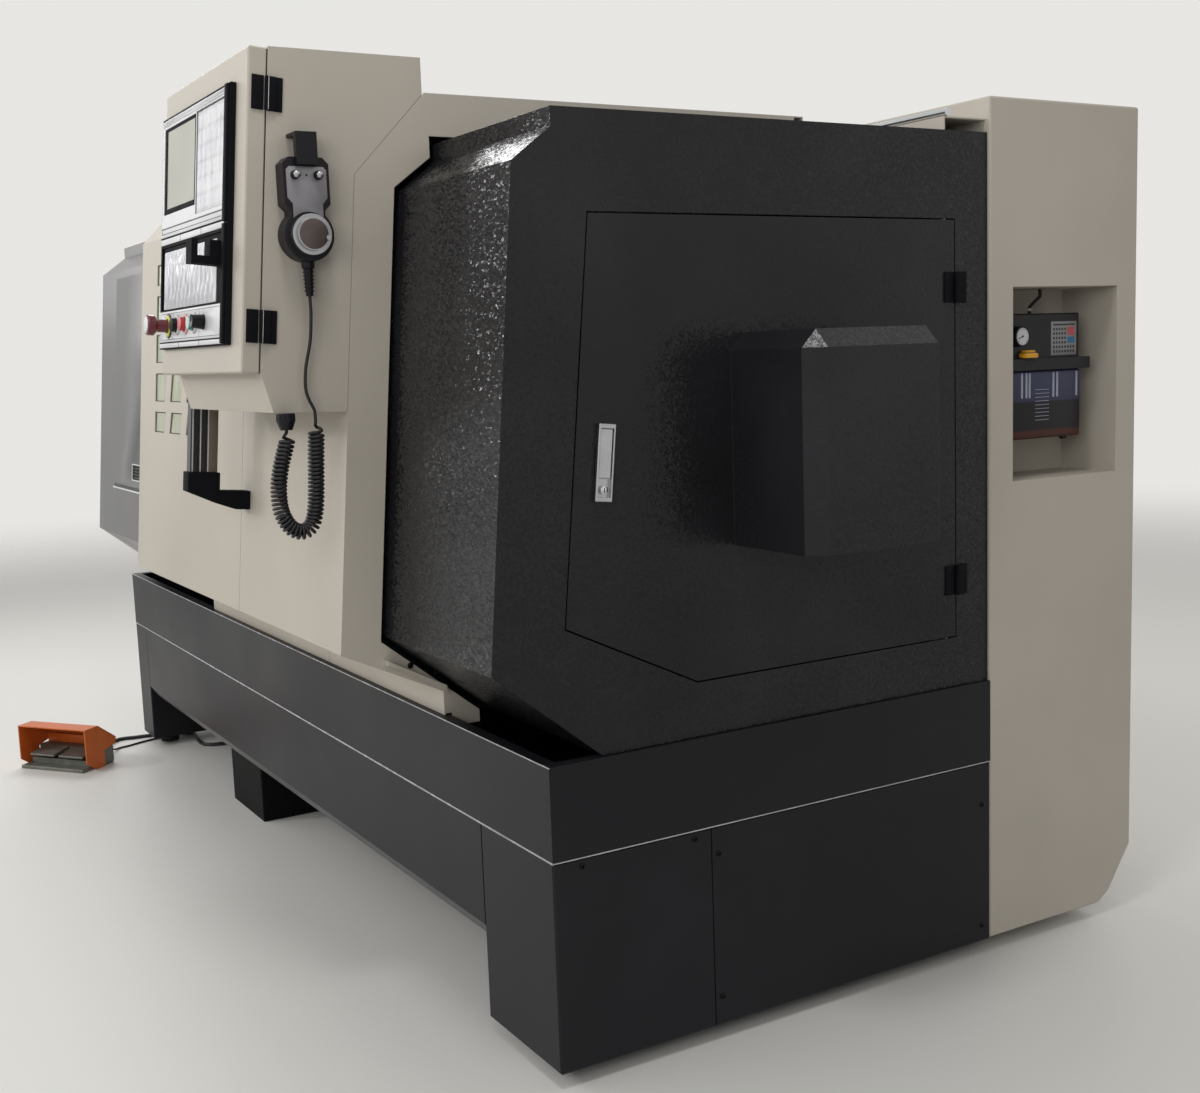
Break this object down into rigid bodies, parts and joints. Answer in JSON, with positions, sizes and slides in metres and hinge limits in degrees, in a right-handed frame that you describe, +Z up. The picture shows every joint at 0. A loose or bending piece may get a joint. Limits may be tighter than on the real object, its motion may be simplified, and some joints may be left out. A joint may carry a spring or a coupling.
{
  "type": "cnc turning lathe",
  "caption": "Enclosed turning lathe with two sliding hoods, black end covers, a leaning control panel, a hanging hand wheel pendant, a rear cabinet and a foot switch.",
  "frame": {"origin": "middle of the machine's footprint at floor level, without the foot switch and the cords", "axes": "+X to the operator's right, towards the tailstock end; -Y towards the operator; +Z up"},
  "size_m": [3.479, 2.0575, 1.977],
  "materials": {
    "graphite_paint": "satin",
    "charcoal_paint": "textured",
    "warm_grey_paint": "satin",
    "motor_paint": "satin",
    "cast_iron": "satin",
    "steel": "ground",
    "rail_chrome": "polished",
    "aluminium": "anodised",
    "black_plastic": "matte",
    "black_rubber": "matte",
    "red_plastic": "gloss",
    "green_plastic": "gloss",
    "window_plastic": "clear",
    "screen_glass": "gloss",
    "tank_plastic": "gloss",
    "orange_paint": "gloss",
    "pedal_grey": "cast"
  },
  "bodies": {
    "machine": {"chip_tray": "graphite_paint", "right_pedestal": "graphite_paint", "left_pedestal": "graphite_paint", "front_apron": "graphite_paint", "bed": "cast_iron", "headstock": "cast_iron", "main_motor": "motor_paint", "drive_belt": "black_rubber", "feed_motor": "motor_paint", "tail_cover": "charcoal_paint", "headstock_cover": "charcoal_paint", "rear_wall": "warm_grey_paint", "upper_rail": "rail_chrome", "rear_cabinet": "warm_grey_paint", "lubricator_head": "black_plastic", "lubricator_tank": "tank_plastic", "oil_tube": "black_rubber", "coolant_tank": "graphite_paint", "foot_switch_base": "pedal_grey", "foot_switch_guard": "orange_paint", "foot_cord_a": "black_rubber", "foot_cord_b": "black_rubber"},
    "spindle_and_chuck": {"spindle": "steel"},
    "chuck_jaw_1": {"jaw_1": "steel"},
    "chuck_jaw_2": {"jaw_2": "steel"},
    "chuck_jaw_3": {"jaw_3": "steel"},
    "lower_pulley": {"motor_pulley": "cast_iron"},
    "feed_screw": {"ball_screw": "steel"},
    "saddle": {"carriage": "cast_iron"},
    "slide": {"cross_slide": "cast_iron"},
    "tool_turret": {"turret": "steel"},
    "tail_casting": {"tailstock": "cast_iron"},
    "tail_quill": {"quill": "steel"},
    "tail_wheel": {"tail_handwheel": "steel"},
    "end_door": {"tail_door": "charcoal_paint", "latch_dish": "aluminium"},
    "latch_lever": {"latch_handle": "aluminium"},
    "hood_right": {"right_hood": "warm_grey_paint", "control_housing": "warm_grey_paint", "pendant": "black_plastic", "cord_gland": "black_plastic", "curly_cord": "black_rubber", "pendant_lead": "black_rubber", "handle_bar": "aluminium"},
    "hood_left": {"left_hood": "warm_grey_paint", "window_pane": "window_plastic"},
    "panel_door": {"control_door": "warm_grey_paint", "panel_frame": "black_plastic", "screen": "screen_glass"},
    "emergency_stop": {"estop_button": "red_plastic"},
    "button_black": {"black_button": "black_plastic"},
    "button_red": {"stop_button": "red_plastic"},
    "button_green": {"start_button": "green_plastic"},
    "selector_knob": {"mode_knob": "black_plastic"},
    "pendant_wheel": {"pendant_dial": "aluminium"},
    "pendant_selector_left": {"pendant_knob_left": "black_plastic"},
    "pendant_selector_right": {"pendant_knob_right": "black_plastic"},
    "rear_door": {"cabinet_door": "warm_grey_paint"},
    "foot_pedal_left": {"pedal_left": "pedal_grey"},
    "foot_pedal_right": {"pedal_right": "pedal_grey"}
  },
  "joints": [
    {"name": "spindle_turn", "type": "hinge", "parent": "machine", "child": "spindle_and_chuck", "pos_m": [-1, 0.00068, 1.195], "axis": [1, 0, 0], "continuous": true},
    {"name": "jaw_1_slide", "type": "slide", "parent": "spindle_and_chuck", "child": "chuck_jaw_1", "axis": [0, 0, 1], "range_m": [-0.004, 0.004]},
    {"name": "jaw_2_slide", "type": "slide", "parent": "spindle_and_chuck", "child": "chuck_jaw_2", "axis": [0, -0.866, -0.5], "range_m": [-0.004, 0.004]},
    {"name": "jaw_3_slide", "type": "slide", "parent": "spindle_and_chuck", "child": "chuck_jaw_3", "axis": [0, 0.866, -0.5], "range_m": [-0.004, 0.004]},
    {"name": "motor_pulley_turn", "type": "hinge", "parent": "machine", "child": "lower_pulley", "pos_m": [-1.5345, 0.00068, 0.245], "axis": [1, 0, 0], "continuous": true},
    {"name": "screw_turn", "type": "hinge", "parent": "machine", "child": "feed_screw", "pos_m": [-1.3885, -0.25932, 0.83], "axis": [1, 0, 0], "continuous": true},
    {"name": "carriage_slide", "type": "slide", "parent": "machine", "child": "saddle", "axis": [1, 0, 0], "range_m": [-0.05, 0.85]},
    {"name": "cross_slide_travel", "type": "slide", "parent": "saddle", "child": "slide", "axis": [0, 1, 0], "range_m": [-0.06, 0.16]},
    {"name": "turret_turn", "type": "hinge", "parent": "slide", "child": "tool_turret", "pos_m": [-0.4185, -0.18432, 1.0723], "axis": [0, 0, 1], "continuous": true},
    {"name": "tailstock_slide", "type": "slide", "parent": "machine", "child": "tail_casting", "axis": [1, 0, 0], "range_m": [-0.6, 0]},
    {"name": "quill_slide", "type": "slide", "parent": "tail_casting", "child": "tail_quill", "axis": [1, 0, 0], "range_m": [-0.1201, 0]},
    {"name": "tail_wheel_turn", "type": "hinge", "parent": "tail_casting", "child": "tail_wheel", "pos_m": [1.5, 0.00068, 1.195], "axis": [1, 0, 0], "range_deg": [-8640, 0]},
    {"name": "end_door_hinge", "type": "hinge", "parent": "machine", "child": "end_door", "pos_m": [1.4815, 0.43618, 0.864], "axis": [0, 0, 1], "range_deg": [0, 110]},
    {"name": "latch_lift", "type": "hinge", "parent": "end_door", "child": "latch_lever", "pos_m": [1.4811, -0.43431, 1.24036], "axis": [0, -0.9946, 0.1037], "range_deg": [0, 55]},
    {"name": "right_hood_slide", "type": "slide", "parent": "machine", "child": "hood_right", "axis": [1, 0, 0], "range_m": [0, 0.44]},
    {"name": "left_hood_slide", "type": "slide", "parent": "machine", "child": "hood_left", "axis": [1, 0, 0], "range_m": [-0.95, 0]},
    {"name": "panel_door_hinge", "type": "hinge", "parent": "hood_right", "child": "panel_door", "pos_m": [0.999, -0.91944, 1.36058], "axis": [0, 0.0916, 0.9958], "range_deg": [0, 110]},
    {"name": "emergency_stop_press", "type": "slide", "parent": "panel_door", "child": "emergency_stop", "axis": [0, 0.9958, -0.0916], "range_m": [0, 0.005]},
    {"name": "black_button_press", "type": "slide", "parent": "panel_door", "child": "button_black", "axis": [0, 0.9958, -0.0916], "range_m": [0, 0.004], "stiffness_N_per_m": 300},
    {"name": "red_button_press", "type": "slide", "parent": "panel_door", "child": "button_red", "axis": [0, 0.9958, -0.0916], "range_m": [0, 0.004], "stiffness_N_per_m": 300},
    {"name": "green_button_press", "type": "slide", "parent": "panel_door", "child": "button_green", "axis": [0, 0.9958, -0.0916], "range_m": [0, 0.004], "stiffness_N_per_m": 300},
    {"name": "selector_knob_turn", "type": "hinge", "parent": "panel_door", "child": "selector_knob", "pos_m": [0.77475, -0.94716, 1.46756], "axis": [0, 0.9958, -0.0916], "range_deg": [-60, 60]},
    {"name": "pendant_wheel_turn", "type": "hinge", "parent": "hood_right", "child": "pendant_wheel", "pos_m": [1.05, -0.81732, 1.622], "axis": [1, 0, 0], "continuous": true},
    {"name": "pendant_left_turn", "type": "hinge", "parent": "hood_right", "child": "pendant_selector_left", "pos_m": [1.04, -0.84032, 1.734], "axis": [1, 0, 0], "range_deg": [-60, 60]},
    {"name": "pendant_right_turn", "type": "hinge", "parent": "hood_right", "child": "pendant_selector_right", "pos_m": [1.04, -0.79432, 1.734], "axis": [1, 0, 0], "range_deg": [-60, 60]},
    {"name": "rear_door_hinge", "type": "hinge", "parent": "machine", "child": "rear_door", "pos_m": [0.2565, 1.01198, 0.21], "axis": [0, 0, 1], "range_deg": [0, 110]},
    {"name": "pedal_left_press", "type": "hinge", "parent": "machine", "child": "foot_pedal_left", "pos_m": [-1.58992, -0.92271, 0.056], "axis": [0.788, 0.6157, 0], "range_deg": [0, 8], "stiffness_Nm_per_rad": 5, "springref_deg": -2.29},
    {"name": "pedal_right_press", "type": "hinge", "parent": "machine", "child": "foot_pedal_right", "pos_m": [-1.4922, -0.84636, 0.056], "axis": [0.788, 0.6157, 0], "range_deg": [0, 8], "stiffness_Nm_per_rad": 5, "springref_deg": -2.29}
  ],
  "couplings": [
    {"joint": "motor_pulley_turn", "follows": "spindle_turn", "ratio": 1.5714},
    {"joint": "jaw_2_slide", "follows": "jaw_1_slide", "ratio": 1},
    {"joint": "jaw_3_slide", "follows": "jaw_1_slide", "ratio": 1},
    {"joint": "screw_turn", "follows": "carriage_slide", "rad_per_m": 628.32},
    {"joint": "quill_slide", "follows": "tail_wheel_turn", "m_per_rad": 0.00079577}
  ]
}
